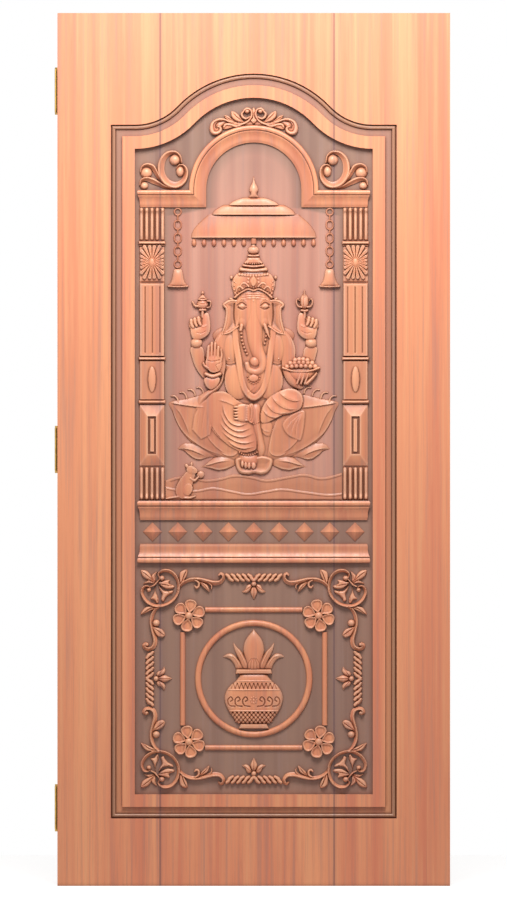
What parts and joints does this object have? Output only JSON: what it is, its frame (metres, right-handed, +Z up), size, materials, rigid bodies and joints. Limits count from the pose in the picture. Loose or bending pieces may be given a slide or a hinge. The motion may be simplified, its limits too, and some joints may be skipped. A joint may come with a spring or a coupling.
{
  "type": "carved temple door",
  "caption": "Boarded wooden door leaf with an arched recessed panel of temple carving, hung on butt hinges at its left edge.",
  "frame": {"origin": "middle of the leaf's bottom edge, half way through its thickness", "axes": "+X to the right seen from the carved front, +Y from the front to the back, +Z up"},
  "size_m": [0.9215, 0.0525, 2.032],
  "materials": {
    "board_wood": "planed and oiled, satin",
    "carved_wood": "carved, stained in the hollows and waxed",
    "hinge_brass": "satin, lightly aged"
  },
  "bodies": {
    "frame_side": {"bottom_hinge_frame_flap": "hinge_brass", "middle_hinge_frame_flap": "hinge_brass", "top_hinge_frame_flap": "hinge_brass", "bottom_hinge_pin": "hinge_brass", "middle_hinge_pin": "hinge_brass", "top_hinge_pin": "hinge_brass"},
    "leaf": {"left_board": "board_wood", "centre_board": "board_wood", "right_board": "board_wood", "left_panel_moulding": "board_wood", "right_panel_moulding": "board_wood", "bottom_panel_moulding": "board_wood", "arched_panel_moulding": "board_wood", "arch_moulding": "carved_wood", "left_capital_cornice": "carved_wood", "right_capital_cornice": "carved_wood", "left_spandrel_scroll": "carved_wood", "right_spandrel_scroll": "carved_wood", "crest": "carved_wood", "left_pilaster": "carved_wood", "right_pilaster": "carved_wood", "left_rosette": "carved_wood", "right_rosette": "carved_wood", "canopy": "carved_wood", "left_chain": "carved_wood", "right_chain": "carved_wood", "left_bell": "carved_wood", "right_bell": "carved_wood", "seated_figure": "carved_wood", "foreground": "carved_wood", "upper_band_cornice": "carved_wood", "lower_band_cornice": "carved_wood", "diamond_row": "carved_wood", "bottom_left_corner_scroll": "carved_wood", "bottom_right_corner_scroll": "carved_wood", "top_left_corner_scroll": "carved_wood", "top_right_corner_scroll": "carved_wood", "top_rope": "carved_wood", "bottom_rope": "carved_wood", "left_rope": "carved_wood", "right_rope": "carved_wood", "top_rod": "carved_wood", "bottom_rod": "carved_wood", "left_rod": "carved_wood", "right_rod": "carved_wood", "bottom_left_flower": "carved_wood", "bottom_right_flower": "carved_wood", "top_left_flower": "carved_wood", "top_right_flower": "carved_wood", "ring": "carved_wood", "pot": "carved_wood", "bottom_hinge_door_flap": "hinge_brass", "middle_hinge_door_flap": "hinge_brass", "top_hinge_door_flap": "hinge_brass", "hinge_screws": "hinge_brass"}
  },
  "joints": [
    {"name": "leaf_swing", "type": "hinge", "parent": "frame_side", "child": "leaf", "pos_m": [-0.4585, 0.0265, 0], "axis": [0, 0, 1], "range_deg": [0, 175]}
  ]
}
